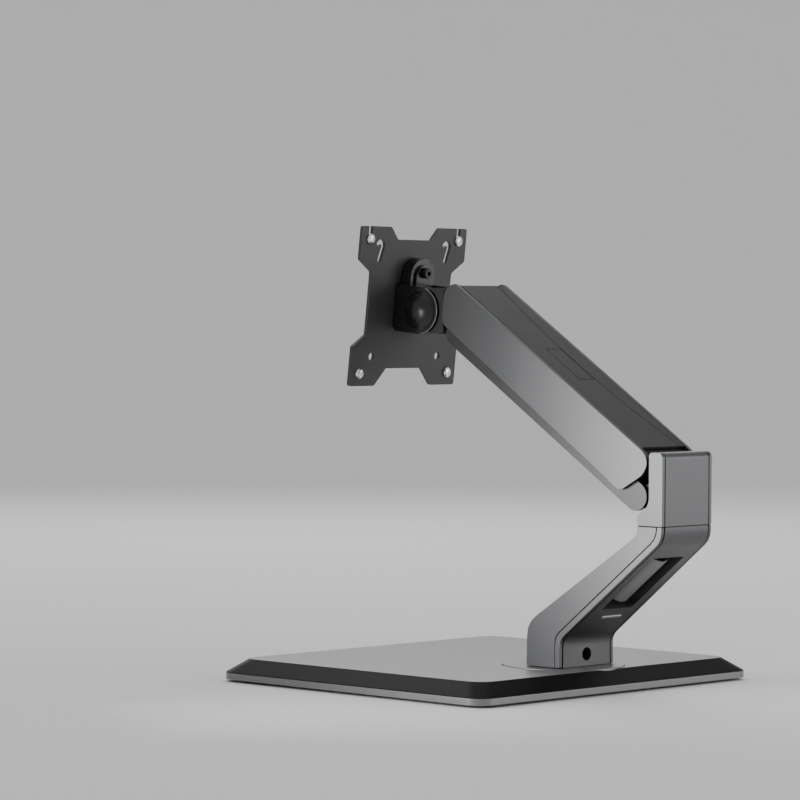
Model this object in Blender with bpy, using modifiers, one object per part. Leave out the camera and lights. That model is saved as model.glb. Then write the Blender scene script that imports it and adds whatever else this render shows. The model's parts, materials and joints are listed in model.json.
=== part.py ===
"""Free-standing spring arm for one monitor: weighted base, turntable, bent riser, parallel arm and tilting head.

Metres, +Z up. The screen side is -Y. The origin is the middle of the anti-slip pad's underside.
"""

from math import acos, atan2, cos, hypot, pi, radians, sin, tan

import bmesh
import bpy
from mathutils import Matrix, Vector

GAP = 0.0003  # clearance between pieces that touch

# Base
PAD_PROUD = 0.0015
BASE_X, BASE_Y = 0.2974, 0.2603
BASE_CORNER = 0.014
SLAB_THICK = 0.005
BASE_TOP = PAD_PROUD + 0.0151
SLAB_TOP = PAD_PROUD + SLAB_THICK
BEVEL_X, BEVEL_Y = 0.0139, 0.0119
BALLAST_X, BALLAST_Y, BALLAST_THICK = 0.266, 0.230, 0.0063

# Turntable
TURN_Y = 0.075
TURN_RADIUS = 0.044
TURN_TOP = BASE_TOP + 0.0005
SPINDLE_RADIUS = 0.008
BALLAST_TOP = SLAB_TOP + GAP + BALLAST_THICK
RING_BOTTOM = BALLAST_TOP + GAP
RING_THICK = 0.0005
DISC_BOTTOM = RING_BOTTOM + RING_THICK + GAP

# Riser: side profile from the foot to the seam
HALF_WIDTH = 0.0273
CORE_HALF = 0.0237
GROOVE = 0.0009  # shadow gap between the side plates and the core
SIDE_IN = CORE_HALF + GROOVE
FLARE = 0.0024  # how much further out each side stands at the foot than at the seam
FOOT_FRONT, FOOT_REAR = 0.0656, 0.0972
FOOT_BOTTOM = TURN_TOP + GAP
SEAM = PAD_PROUD + 0.1203
SEAM_GAP = 0.0006
TOP_FRONT, TOP_REAR = 0.1661, 0.1887
FRONT_KNEE_LOW, FRONT_KNEE_HIGH = PAD_PROUD + 0.0466, PAD_PROUD + 0.1137
REAR_KNEE_LOW, REAR_KNEE_HIGH = PAD_PROUD + 0.0362, PAD_PROUD + 0.1104
EDGE_STRIP = 0.0051
INSET_DEPTH = 0.0013

# Arm and its four pivots
ARM_ANGLE = radians(33.3)
ARM_LENGTH = 0.2057
PIVOT_Y, PIVOT_Z = 0.1605, PAD_PROUD + 0.163
LINK_DY, LINK_DZ = 0.001, -0.022
PIN_RADIUS = 0.004
LINK_PIN_RADIUS = 0.0035
PANEL_IN = 0.0242
LINK_OUT, LINK_IN = 0.0237, 0.0206
LINK_RADIUS = 0.0102
LINK_SKIN = 0.0010
WALL_OUT, WALL_IN = 0.0202, 0.0170
COVER_FRONT, COVER_REAR = -ARM_LENGTH - 0.0025, -0.0020
SEAM_HALF = 0.00035
TAB_GAP = 0.0006
ANCHOR_ARM = 0.0058
ANCHOR_PIN = 0.0015
ANCHOR_ANGLE = radians(14.0)

# Head
HEAD_YAW = radians(2.6)
HEAD_TILT = radians(6.25)
SWIVEL_Y = -0.028
TILT_REACH = 0.025
TILT_Z = PAD_PROUD + 0.2701
TILT_RADIUS = 0.0175
PLATE_BACK = 0.026
PLATE_THICK = 0.0025
PLATE_SIZE = 0.119
VESA_LARGE, VESA_SMALL = 0.100, 0.075

FINISHES = {
    "space_grey": ((0.165, 0.168, 0.175), 0.42, 0.75),
    "charcoal": ((0.030, 0.031, 0.034), 0.55, 0.0),
    "black_steel": ((0.018, 0.018, 0.020), 0.35, 0.3),
    "gloss_black": ((0.010, 0.010, 0.011), 0.18, 0.0),
    "cast_grey": ((0.110, 0.112, 0.118), 0.50, 0.6),
    "steel": ((0.50, 0.51, 0.53), 0.28, 1.0),
    "zinc": ((0.62, 0.63, 0.66), 0.30, 1.0),
    "rubber": ((0.015, 0.015, 0.015), 0.85, 0.0),
    "acetal": ((0.60, 0.60, 0.57), 0.45, 0.0),
    "spring_steel": ((0.30, 0.31, 0.33), 0.35, 1.0),
}

# Matrices that turn a flat outline's plane: (x, y, thickness) to world axes
SIDE_PLANE = Matrix.Rotation(pi / 2, 4, "Z") @ Matrix.Rotation(pi / 2, 4, "X")
PLAN_PLANE = Matrix.Identity(4)
FACE_PLANE = Matrix.Rotation(pi / 2, 4, "X")


# ---------------------------------------------------------------- scene and materials

for old in list(bpy.data.objects):
    bpy.data.objects.remove(old)

PARTS = bpy.data.collections.new("monitor_arm")
CUTTERS = bpy.data.collections.new("cutters")
for group in (PARTS, CUTTERS):
    bpy.context.scene.collection.children.link(group)
CUTTERS.hide_render = True


def paint(obj, finish):
    """Gives the object its own Principled material in one of the finishes."""
    color, roughness, metallic = FINISHES[finish]
    material = bpy.data.materials.new(f"{obj.name}_{finish}")
    material.use_nodes = True
    shader = material.node_tree.nodes["Principled BSDF"]
    shader.inputs["Base Color"].default_value = (*color, 1.0)
    shader.inputs["Roughness"].default_value = roughness
    shader.inputs["Metallic"].default_value = metallic
    obj.data.materials.clear()
    obj.data.materials.append(material)


def axis_empty(name, location, turn=None, parent=None):
    """An empty on a joint's axis, which the pieces of one body hang from."""
    empty = bpy.data.objects.new(name, None)
    empty.empty_display_size = 0.02
    place = Matrix.Translation(Vector(location))
    empty.matrix_world = place @ turn if turn else place
    if parent:
        empty.parent = parent
        empty.matrix_parent_inverse = parent.matrix_world.inverted()
    PARTS.objects.link(empty)
    bpy.context.view_layer.update()
    return empty


def finish_piece(mesh, name, parent, finish, smooth=35):
    """Makes a named piece of a mesh in its parent's frame. With no finish it is a cutter."""
    obj = bpy.data.objects.new(name, mesh)
    mesh.shade_smooth()
    mesh.set_sharp_from_angle(angle=radians(smooth))
    obj.parent = parent
    if finish:
        PARTS.objects.link(obj)
        paint(obj, finish)
    else:
        CUTTERS.objects.link(obj)
        obj.hide_render = True
        obj.display_type = "WIRE"
    return obj


# ---------------------------------------------------------------- outlines

def arc(x, y, radius, start, end, steps):
    """Points on an arc, angles in degrees."""
    turns = [radians(start + (end - start) * i / steps) for i in range(steps + 1)]
    return [(x + radius * cos(a), y + radius * sin(a)) for a in turns]


def circle(x, y, radius, steps=24):
    half = 180 / steps
    return arc(x, y, radius, half, half + 360, steps)[:-1]


def rounded(corners, step=18):
    """A closed outline from (x, y, radius) corners, each rounded by a tangent arc."""
    outline = []
    count = len(corners)
    for i, (x, y, radius) in enumerate(corners):
        here = Vector((x, y))
        before = (Vector(corners[i - 1][:2]) - here).normalized()
        after = (Vector(corners[(i + 1) % count][:2]) - here).normalized()
        if radius == 0:
            outline.append((x, y))
            continue
        opening = acos(max(-1.0, min(1.0, before.dot(after))))
        reach = radius / tan(opening / 2)
        centre = here + (before + after).normalized() * hypot(reach, radius)
        first = here + before * reach - centre
        last = here + after * reach - centre
        start = atan2(first.y, first.x)
        sweep = (atan2(last.y, last.x) - start + pi) % (2 * pi) - pi
        steps = max(2, round(abs(sweep) / radians(step)))
        for k in range(steps + 1):
            a = start + sweep * k / steps
            outline.append((centre.x + radius * cos(a), centre.y + radius * sin(a)))
    return outline


def box_outline(x0, y0, x1, y1, radius=0.0):
    return rounded([(x0, y0, radius), (x1, y0, radius), (x1, y1, radius), (x0, y1, radius)])


def stadium(x0, y0, x1, y1, radius, steps=10):
    """A slot outline round the line from one centre to the other."""
    angle = atan2(y1 - y0, x1 - x0) * 180 / pi
    return arc(x0, y0, radius, angle + 90, angle + 270, steps) + arc(x1, y1, radius, angle - 90, angle + 90, steps)


# ---------------------------------------------------------------- solids

def slab_mesh(outlines, low, high, plane):
    """Mesh of a flat outline, with holes, extruded from low to high along its plane's normal."""
    curve = bpy.data.curves.new("outline", "CURVE")
    curve.dimensions = "2D"
    curve.fill_mode = "BOTH"
    curve.extrude = (high - low) / 2
    for points in outlines:
        spline = curve.splines.new("POLY")
        spline.points.add(len(points) - 1)
        for point, (x, y) in zip(spline.points, points):
            point.co = (x, y, 0, 1)
        spline.use_cyclic_u = True
    shape = bpy.data.objects.new("outline", curve)
    bpy.context.scene.collection.objects.link(shape)
    bpy.context.view_layer.update()
    solid = shape.evaluated_get(bpy.context.evaluated_depsgraph_get())
    mesh = bpy.data.meshes.new_from_object(solid)
    bpy.data.objects.remove(shape)
    mesh.transform(plane @ Matrix.Translation((0, 0, (low + high) / 2)))
    weld(mesh)
    return mesh


def weld(mesh):
    work = bmesh.new()
    work.from_mesh(mesh)
    bmesh.ops.remove_doubles(work, verts=work.verts, dist=0.000005)
    bmesh.ops.recalc_face_normals(work, faces=work.faces)
    work.to_mesh(mesh)
    work.free()


def slab(name, outlines, low, high, plane, parent, finish):
    return finish_piece(slab_mesh(outlines, low, high, plane), name, parent, finish)


def rod(name, axis, centre, radius, low, high, parent, finish, sides=24, bore=0.0):
    """A cylinder, or a ring with a bore, along X, Y or Z through centre (the other two coordinates)."""
    plane = {"X": SIDE_PLANE, "Y": FACE_PLANE, "Z": PLAN_PLANE}[axis]
    if axis == "Y":
        low, high = -high, -low
    if bore:
        rings = [circle(*centre, radius, sides), circle(*centre, bore, max(sides, 20))]
        return slab(name, rings, low, high, plane, parent, finish)
    work = bmesh.new()
    bmesh.ops.create_cone(work, cap_ends=True, segments=sides, radius1=radius, radius2=radius, depth=high - low)
    mesh = bpy.data.meshes.new(name)
    work.to_mesh(mesh)
    work.free()
    mesh.transform(plane @ Matrix.Translation((*centre, (low + high) / 2)))
    return finish_piece(mesh, name, parent, finish)


def turned(name, profile, parent, finish, place, sides=32):
    """A turned solid: a closed (radius, height) profile round Z, placed by a matrix."""
    work = bmesh.new()
    points = [work.verts.new((radius, 0, height)) for radius, height in profile]
    for a, b in zip(points, points[1:]):
        work.edges.new((a, b))
    mesh = bpy.data.meshes.new(name)
    work.to_mesh(mesh)
    work.free()
    shape = bpy.data.objects.new(name, mesh)
    bpy.context.scene.collection.objects.link(shape)
    spin = shape.modifiers.new("Screw", "SCREW")
    spin.steps = spin.render_steps = sides
    spin.use_merge_vertices = True
    spin.merge_threshold = 0.000005
    bpy.context.view_layer.update()
    solid = shape.evaluated_get(bpy.context.evaluated_depsgraph_get())
    round_mesh = bpy.data.meshes.new_from_object(solid)
    bpy.data.objects.remove(shape)
    weld(round_mesh)
    round_mesh.transform(place)
    return finish_piece(round_mesh, name, parent, finish)


def boolean(obj, other, operation):
    step = obj.modifiers.new(operation.title(), "BOOLEAN")
    step.operation = operation
    step.object = other
    return obj


def cut(obj, *cutters):
    for cutter in cutters:
        boolean(obj, cutter, "DIFFERENCE")
    return obj


def join(obj, *others):
    for other in others:
        boolean(obj, other, "UNION")
    return obj


def taper(mesh, low, high, half_x, half_y, inset_x, inset_y):
    """Draws a plan slab in towards its top, for a bevelled edge all round."""
    for vertex in mesh.vertices:
        share = (vertex.co.z - low) / (high - low)
        vertex.co.x *= 1 - share * inset_x / half_x
        vertex.co.y *= 1 - share * inset_y / half_y


def cap_screw(name, x, y, plane, head_radius, head_low, head_high, shank_radius, tip, parent, finish):
    """A socket screw along the plane's normal: a head with a blind socket, and a shank that ends at tip."""
    socket = head_radius * 0.5
    down = 1 if tip < head_low else -1
    face = head_high if down == 1 else head_low
    seat = head_low if down == 1 else head_high
    floor = face - down * (head_high - head_low) * 0.6
    profile = [
        (0, floor), (socket, floor), (socket, face), (head_radius, face),
        (head_radius, seat), (shank_radius, seat), (shank_radius, tip), (0, tip),
    ]
    turned(name, profile, parent, finish, plane @ Matrix.Translation((x, y, 0)), 12)


# ---------------------------------------------------------------- base, which stays on the desk

def base_slab_outline(shrink=0.0):
    half_x, half_y = BASE_X / 2 - shrink, BASE_Y / 2 - shrink
    return box_outline(-half_x, -half_y, half_x, half_y, BASE_CORNER - shrink / 2)


def make_base():
    pad_inset = 0.012
    slab("antislip_pad", [base_slab_outline(pad_inset)], 0, PAD_PROUD - GAP, PLAN_PLANE, None, "rubber")
    slab("base_slab", [base_slab_outline(), circle(0, TURN_Y, 0.0135, 32)],
         PAD_PROUD, SLAB_TOP, PLAN_PLANE, None, "space_grey")

    half_x, half_y = BALLAST_X / 2, BALLAST_Y / 2
    slab("ballast_plate", [box_outline(-half_x, -half_y, half_x, half_y, 0.01),
                           circle(0, TURN_Y, SPINDLE_RADIUS + GAP, 24)],
         SLAB_TOP + GAP, BALLAST_TOP, PLAN_PLANE, None, "black_steel")

    low = SLAB_TOP + GAP
    cover = slab_mesh([base_slab_outline()], low, BASE_TOP, PLAN_PLANE)
    taper(cover, low, BASE_TOP, BASE_X / 2, BASE_Y / 2, BEVEL_X, BEVEL_Y)
    cover = finish_piece(cover, "base_cover", None, "space_grey")
    wall = 0.003
    under = low - 0.001
    ceiling = BALLAST_TOP + GAP
    hollow = slab_mesh([base_slab_outline(wall)], under, ceiling, PLAN_PLANE)
    share = (ceiling - under) / (BASE_TOP - low)
    taper(hollow, under, ceiling, BASE_X / 2, BASE_Y / 2, BEVEL_X * share, BEVEL_Y * share)
    hollow = finish_piece(hollow, "cover_hollow", None, None)
    eye = rod("cover_eye", "Z", (0, TURN_Y), TURN_RADIUS + 0.0004, under, BASE_TOP + 0.01, None, None, 64)
    cut(cover, hollow, eye)


# ---------------------------------------------------------------- turntable and riser

def make_turntable(turn):
    rod("turntable_ring", "Z", (0, 0), 0.040, RING_BOTTOM, RING_BOTTOM + RING_THICK, turn, "acetal", 48, 0.030)
    disc = slab("turntable_disc", [circle(0, 0, TURN_RADIUS, 64)], DISC_BOTTOM, TURN_TOP, PLAN_PLANE, turn,
                "space_grey")
    centre_y = (FOOT_FRONT + FOOT_REAR) / 2 - TURN_Y
    for number, x in enumerate((-0.014, 0.014), 1):
        cut(disc, rod("disc_sink", "Z", (x, centre_y), 0.0056, DISC_BOTTOM - 0.002, DISC_BOTTOM + 0.0020,
                      turn, None, 16),
            rod("disc_hole", "Z", (x, centre_y), 0.0034, DISC_BOTTOM - 0.002, TURN_TOP + 0.004, turn, None, 16))
        cap_screw(f"foot_bolt_{number}", x, centre_y, PLAN_PLANE, 0.0052, DISC_BOTTOM + 0.0003,
                  DISC_BOTTOM + 0.0016, 0.0030, TURN_TOP + 0.018, turn, "zinc")
    rod("turntable_spindle", "Z", (0, 0), SPINDLE_RADIUS - GAP, PAD_PROUD + 0.0004, DISC_BOTTOM - GAP, turn,
        "steel", 24)
    rod("spindle_nut", "Z", (0, 0), 0.0125, PAD_PROUD + 0.0006, SLAB_TOP - GAP, turn, "zinc", 6,
        SPINDLE_RADIUS + GAP)


def riser_corners(rear_inset=0.0):
    """Side profile of the riser in the turntable's frame, its rear edge drawn in by rear_inset."""
    lean = atan2(REAR_KNEE_HIGH - REAR_KNEE_LOW, TOP_REAR - FOOT_REAR)
    shift = rear_inset * tan(lean / 2)
    y = -TURN_Y
    return [
        (y + FOOT_FRONT, FOOT_BOTTOM, 0),
        (y + FOOT_REAR - rear_inset, FOOT_BOTTOM, 0),
        (y + FOOT_REAR - rear_inset, REAR_KNEE_LOW + rear_inset * (1 / cos(lean) - tan(lean)), 0.010),
        (y + TOP_REAR - rear_inset, REAR_KNEE_HIGH + rear_inset * (1 / cos(lean) - tan(lean)), 0.014),
        (y + TOP_REAR - rear_inset, SEAM, 0),
        (y + TOP_FRONT, SEAM, 0),
        (y + TOP_FRONT, FRONT_KNEE_HIGH, 0.006),
        (y + FOOT_FRONT, FRONT_KNEE_LOW, 0.016),
    ]


def riser_slab(name, outline, low, high, turn, finish):
    """A slab of the riser, which spreads evenly in width from the seam down to the foot."""
    mesh = slab_mesh([outline], low, high, SIDE_PLANE)
    for vertex in mesh.vertices:
        drop = (SEAM - vertex.co.z) / (SEAM - FOOT_BOTTOM)
        vertex.co.x *= 1 + drop * FLARE / HALF_WIDTH
    return finish_piece(mesh, name, turn, finish)


def make_riser(turn):
    profile = rounded(riser_corners())
    core = riser_slab("riser_core", profile, -CORE_HALF, CORE_HALF, turn, "cast_grey")

    # Cable channel sunk in the slanted rear face
    lean = atan2(REAR_KNEE_HIGH - REAR_KNEE_LOW, TOP_REAR - FOOT_REAR)
    middle_y = (FOOT_REAR + TOP_REAR) / 2 + 0.006 - TURN_Y
    middle_z = (REAR_KNEE_LOW + REAR_KNEE_HIGH) / 2 + 0.0045
    half_run, half_wide, depth = 0.031, 0.0165, 0.0120
    place = Matrix.Translation((0, middle_y, middle_z)) @ Matrix.Rotation(lean, 4, "X")
    pocket = slab_mesh([box_outline(-half_wide, -half_run, half_wide, half_run, 0.002)], -0.02, depth, place)
    channel = finish_piece(pocket, "channel_cutter", turn, None)
    cut(core, channel)

    lock = rod("lock_bore", "Y", (0, PAD_PROUD + 0.0245), 0.0048, FOOT_REAR - 0.016 - TURN_Y,
               FOOT_REAR + 0.01 - TURN_Y, turn, None, 24)
    cut(core, lock)
    seam_y = 0.180 - TURN_Y
    foot_y = (FOOT_FRONT + FOOT_REAR) / 2 - TURN_Y
    for x in (-0.014, 0.014):
        cut(core, rod("foot_tap", "Z", (x, foot_y), 0.0034, FOOT_BOTTOM - 0.005, TURN_TOP + 0.020, turn, None, 16),
            rod("seam_tap", "Z", (x, seam_y), 0.0034, SEAM - 0.014, SEAM + 0.005, turn, None, 16))

    face = TURN_Y - FOOT_REAR
    cap_screw("swivel_lock_screw", 0, PAD_PROUD + 0.0245, FACE_PLANE, 0.0042, face + 0.0060, face + 0.0110,
              0.0025, face + 0.0150, turn, "black_steel")

    # Guide that arches over the cables, its feet on the channel's floor
    floor, wall = depth - GAP, 0.0016
    wide, tall = 0.0116, 0.0104
    outside = [(wide * x, tall * y) for x, y in arc(0, 0, 1, 0, 180, 18)]
    inside = [((wide - wall) * x, (tall - wall) * y) for x, y in arc(0, 0, 1, 180, 0, 18)]
    along = Matrix.Translation((0, middle_y, middle_z)) @ Matrix.Rotation(lean, 4, "X") @ FACE_PLANE
    mesh = slab_mesh([[(x - 0.0013, floor - y) for x, y in outside + inside]], -0.024, 0.024, along)
    finish_piece(mesh, "cable_guide", turn, "cast_grey")

    inset = rounded(riser_corners(EDGE_STRIP))
    shifts = [(-0.01, -0.01), (GAP, -0.01), (GAP, 0), (GAP, 0), (GAP, 0.01), (-0.01, 0.01), (-0.01, 0), (-0.01, 0)]
    clear = rounded([(y + dy, z + dz, r) for (y, z, r), (dy, dz) in zip(riser_corners(EDGE_STRIP), shifts)])
    for side, name in ((1, "left"), (-1, "right")):
        outer = [side * SIDE_IN, side * HALF_WIDTH]
        plate = riser_slab(f"riser_side_{name}", profile, min(outer), max(outer), turn, "space_grey")
        floor = side * (HALF_WIDTH - INSET_DEPTH)
        ends = sorted((floor, side * (HALF_WIDTH + 0.005)))
        cut(plate, riser_slab(f"inset_cutter_{name}", clear, *ends, turn, None))
        ends = sorted((floor + side * GAP, side * HALF_WIDTH))
        riser_slab(f"riser_inset_{name}", inset, *ends, turn, "space_grey")


# ---------------------------------------------------------------- joint housing on the riser

def pivot():
    """Upper pivot in the turntable's frame."""
    return PIVOT_Y - TURN_Y, PIVOT_Z


def make_housing(turn):
    low = SEAM + SEAM_GAP
    y, z = pivot()
    ly, lz = y + LINK_DY, z + LINK_DZ
    back = TOP_REAR - 0.0035 - TURN_Y
    wall = 0.1748 - TURN_Y
    front = TOP_FRONT + 0.0003 - TURN_Y
    root = rounded([(front, low, 0), (back, low, 0), (back, z + 0.0055, 0), (wall, z + 0.0055, 0),
                    (wall, lz - 0.010, 0.003), (front, lz - 0.0142, 0.001)])
    block = slab("pivot_block", [root], -CORE_HALF, CORE_HALF, SIDE_PLANE, turn, "cast_grey")
    reach = 0.006
    lower = arc(ly, lz, 0.0084, 90, 270, 14) + [(wall + reach, lz - 0.0084), (wall + reach, lz + 0.0084)]
    upper = arc(y, z, 0.0084, 21, 270, 20) + [(wall + reach, z - 0.0084), (wall + reach, z + 0.003)]
    tongues = [
        slab("lower_tongue", [lower], -WALL_OUT, WALL_OUT, SIDE_PLANE, turn, None),
        slab("upper_tongue", [upper], -0.0166, 0.0166, SIDE_PLANE, turn, None),
    ]
    join(block, *tongues)
    ay, az = anchor()
    holes = [
        rod("bore_upper", "X", (y, z), PIN_RADIUS + GAP, -0.05, 0.05, turn, None, 20),
        rod("bore_lower", "X", (ly, lz), LINK_PIN_RADIUS + GAP, -0.05, 0.05, turn, None, 20),
        rod("bore_anchor", "X", (ay, az), ANCHOR_PIN + 0.0002, -0.0130, 0.0130, turn, None, 12),
        slab("hook_slot", [box_outline(y - 0.02, z + 0.0002, wall - 0.0016, z + 0.03)], -0.004, 0.004,
             SIDE_PLANE, turn, None),
    ]
    seam_y = 0.180 - TURN_Y
    for number, x in enumerate((-0.014, 0.014), 1):
        holes.append(rod("bolt_hole", "Z", (x, seam_y), 0.0034, low - 0.005, z + 0.02, turn, None, 16))
        holes.append(rod("bolt_sink", "Z", (x, seam_y), 0.0051, z - 0.001, z + 0.02, turn, None, 16))
        cap_screw(f"housing_bolt_{number}", x, seam_y, PLAN_PLANE, 0.0048, z - 0.0006, z + 0.0048, 0.0030,
                  SEAM - 0.013, turn, "zinc")
    cut(block, *holes)

    # Rear shell, its top rounded over the block
    inner = back + GAP
    outer = TOP_REAR - TURN_Y
    top = PAD_PROUD + 0.1722
    lid_front = 0.1770 - TURN_Y
    shell = rounded([(outer, low, 0), (outer, top, 0.0045), (lid_front, top, 0.0005),
                     (lid_front, top - 0.0022, 0.0002), (inner, top - 0.0022, 0.002), (inner, low, 0)])
    slab("housing_rear_shell", [shell], -CORE_HALF, CORE_HALF, SIDE_PLANE, turn, "space_grey")

    # Side cheeks, scooped round the lower link's end
    tip = 0.1765 - TURN_Y
    scoop_y, scoop_z, scoop = 0.1650 - TURN_Y, PAD_PROUD + 0.1410, 0.0117
    start = atan2(-(scoop**2 - (front - scoop_y + 0.003)**2)**0.5, front - scoop_y + 0.003) * 180 / pi
    cheek = [(front - 0.0003, low), (outer, low)]
    cheek += arc(outer - 0.004, top - 0.004, 0.004, 0, 90, 5)
    cheek += arc(tip + 0.0025, top - 0.0025, 0.0025, 90, 180, 5)
    cheek += arc(scoop_y, scoop_z, scoop, 8, start, 12)
    cheek += [(front - 0.0003, scoop_z - 0.0138)]
    for side, name in ((1, "left"), (-1, "right")):
        ends = sorted((side * SIDE_IN, side * HALF_WIDTH))
        slab(f"housing_cheek_{name}", [cheek], *ends, SIDE_PLANE, turn, "space_grey")

    rod("spring_anchor_pin", "X", (ay, az), ANCHOR_PIN, -0.0126, 0.0126, turn, "steel", 12)


def anchor():
    """Where the drawbar hooks on, above the upper pivot, in the turntable's frame."""
    y, z = pivot()
    return y + ANCHOR_ARM * sin(ANCHOR_ANGLE), z + ANCHOR_ARM * cos(ANCHOR_ANGLE)


# ---------------------------------------------------------------- arm, in its own frame: +Y back, +Z up off its top

def panel_outline():
    """Side panel round both upper pivots, deeper behind than in front."""
    top_rear, top_front = 0.0139, 0.0133
    rear = [(-0.0005, top_rear, 0), (0.0125, top_rear - 0.001, 0.0095), (0.0118, -0.0010, 0.010),
            (0.0010, -0.0218, 0.0065), (-0.020, -0.0209, 0)]
    front = [(-ARM_LENGTH + 0.016, -0.0186, 0), (-ARM_LENGTH - 0.0005, -0.0182, 0.0075),
             (-ARM_LENGTH - 0.0142, 0.0080, 0.011), (-ARM_LENGTH - 0.0045, top_front, 0.006)]
    return rounded(rear + front, 15)


def seam_curve(offset, steps=16):
    """The bowed seam between the two top covers, from front to back."""
    points = []
    for i in range(steps + 1):
        share = i / steps
        y = COVER_FRONT + share * (COVER_REAR - COVER_FRONT)
        x = -0.0080 - 0.0100 * (2 * share - 1) ** 2 * (1 + 0.25 * (share - 0.5))
        points.append((x + offset, y))
    return points


def make_arm(arm):
    for side, name in ((1, "left"), (-1, "right")):
        ends = sorted((side * PANEL_IN, side * HALF_WIDTH))
        slab(f"arm_panel_{name}", [panel_outline()], *ends, SIDE_PLANE, arm, "space_grey")

    front = -ARM_LENGTH
    wall_low, roof_low, roof_top = -0.0058, 0.0092, 0.0112
    roof = slab("arm_frame", [box_outline(-PANEL_IN + GAP, front, PANEL_IN - GAP, 0.002)], roof_low, roof_top,
                PLAN_PLANE, arm, "black_steel")
    wall = box_outline(front - 0.008, wall_low, 0.008, roof_low + 0.001, 0.0)
    walls = [slab(f"frame_wall_{name}", [wall], *sorted((side * WALL_IN, side * WALL_OUT)), SIDE_PLANE, arm, None)
             for side, name in ((1, "left"), (-1, "right"))]
    join(roof, *walls)
    holes = [rod("frame_bore", "X", (y, 0), PIN_RADIUS + GAP, -0.05, 0.05, arm, None, 20)
             for y in (0, front)]
    slot = box_outline(-0.0085, -0.125, 0.0085, -0.085)
    holes.append(slab("latch_hole", [slot], roof_low - 0.005, roof_top + 0.005, PLAN_PLANE, arm, None))
    cut(roof, *holes)

    # Two top covers that meet at the bowed seam, with a press tab between them
    cover_low, cover_top = roof_top + GAP, 0.0136
    half = PANEL_IN - GAP
    tab_front, tab_rear, tab_half = -0.1245, -0.0865, 0.0080
    wide = seam_curve(SEAM_HALF) + [(half, COVER_REAR), (half, COVER_FRONT)]
    narrow = seam_curve(-SEAM_HALF) + [(-half, COVER_REAR), (-half, COVER_FRONT)]
    notch = box_outline(-0.020, tab_front - TAB_GAP, tab_half + TAB_GAP, tab_rear + TAB_GAP)
    notch = slab("tab_notch", [notch], cover_low - 0.005, cover_top + 0.005, PLAN_PLANE, arm, None)
    cover = slab("cable_cover", [wide], cover_low, cover_top, PLAN_PLANE, arm, "charcoal")
    cut(cover, notch)
    slab("top_rail_cover", [narrow], cover_low, cover_top, PLAN_PLANE, arm, "charcoal")
    return tab_front, tab_rear, tab_half, cover_top


def make_latch(latch, tab_front, tab_rear, tab_half, top):
    tab = [box_outline(-tab_half + 0.0010, tab_front, tab_half, tab_rear, 0.0008)]
    slab("cover_latch", tab, top - 0.0030, top, PLAN_PLANE, latch, "charcoal")


def make_pins(arm, link_rear, link_front):
    reach = LINK_IN - GAP
    rod("upper_rear_pin", "X", (0, 0), PIN_RADIUS, -reach, reach, arm, "steel", 20)
    rod("upper_front_pin", "X", (-ARM_LENGTH, 0), PIN_RADIUS, -reach, reach, arm, "steel", 20)
    reach = LINK_OUT - LINK_SKIN - GAP
    rod("lower_rear_pin", "X", (0, 0), LINK_PIN_RADIUS, -reach, reach, link_rear, "steel", 20)
    rod("lower_front_pin", "X", (0, 0), LINK_PIN_RADIUS, -reach, reach, link_front, "steel", 20)


def make_lower_link(link):
    cheek = stadium(0, 0, -ARM_LENGTH, 0, LINK_RADIUS, 12)
    left = slab("lower_link", [cheek], LINK_IN, LINK_OUT, SIDE_PLANE, link, "space_grey")
    right = slab("link_cheek", [cheek], -LINK_OUT, -LINK_IN, SIDE_PLANE, link, None)
    web_half = LINK_OUT - 0.001
    web = box_outline(-web_half, -ARM_LENGTH + 0.024, web_half, -0.020)
    floor = slab("link_web", [web], -LINK_RADIUS + 0.0002, -LINK_RADIUS + 0.0024, PLAN_PLANE, link, None)
    join(left, right, floor)
    for y in (0, -ARM_LENGTH):
        cut(left, rod("link_bore", "X", (y, 0), LINK_PIN_RADIUS + GAP, -LINK_OUT + LINK_SKIN,
                      LINK_OUT - LINK_SKIN, link, None, 20))


def make_spring(arm, slide):
    seat_y, cup_y = -0.052, -0.166
    slab("spring_seat", [box_outline(-WALL_IN + GAP, -0.007, WALL_IN - GAP, 0.0088), circle(0, 0.001, 0.0040)],
         -seat_y, -seat_y + 0.004, FACE_PLANE, arm, "cast_grey")
    coil("coil_spring", arm, -0.0565, cup_y + 0.0005, 0.0064, 0.00125, 11)
    rod("pull_rod", "Y", (0, 0.001), 0.0030, -0.176, -0.031, slide, "steel", 16)
    rod("spring_cup", "Y", (0, 0.001), 0.0082, cup_y - 0.005, cup_y - GAP * 2, slide, "zinc", 24, 0.0033)
    rod("tension_nut", "Y", (0, 0.001), 0.0062, cup_y - 0.0095, cup_y - 0.005 - GAP, slide, "zinc", 6, 0.0033)

    # Drawbar: a flat hook, open below, over the anchor pin. It rides clear above the pivot pin
    ay = ANCHOR_ARM * sin(ANCHOR_ANGLE - ARM_ANGLE)
    eye = ANCHOR_PIN + 0.0004
    low, high, crown = 0.0045, 0.0088, ANCHOR_ARM + 0.0003
    bar = rounded([(ay + eye + 0.0026, low, 0.0005), (ay + eye + 0.0026, high, 0.0015), (-0.018, high, 0.002),
                   (-0.0305, 0.0055, 0.001), (-0.0305, -0.0035, 0.001), (-0.0230, -0.0035, 0.002),
                   (-0.0110, low, 0.002), (ay - eye, low, 0.0)])
    bar += arc(ay, crown, eye, 180, 0, 8) + [(ay + eye, low)]
    slab("drawbar", [bar], -0.0030, 0.0030, SIDE_PLANE, slide, "zinc")


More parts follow.
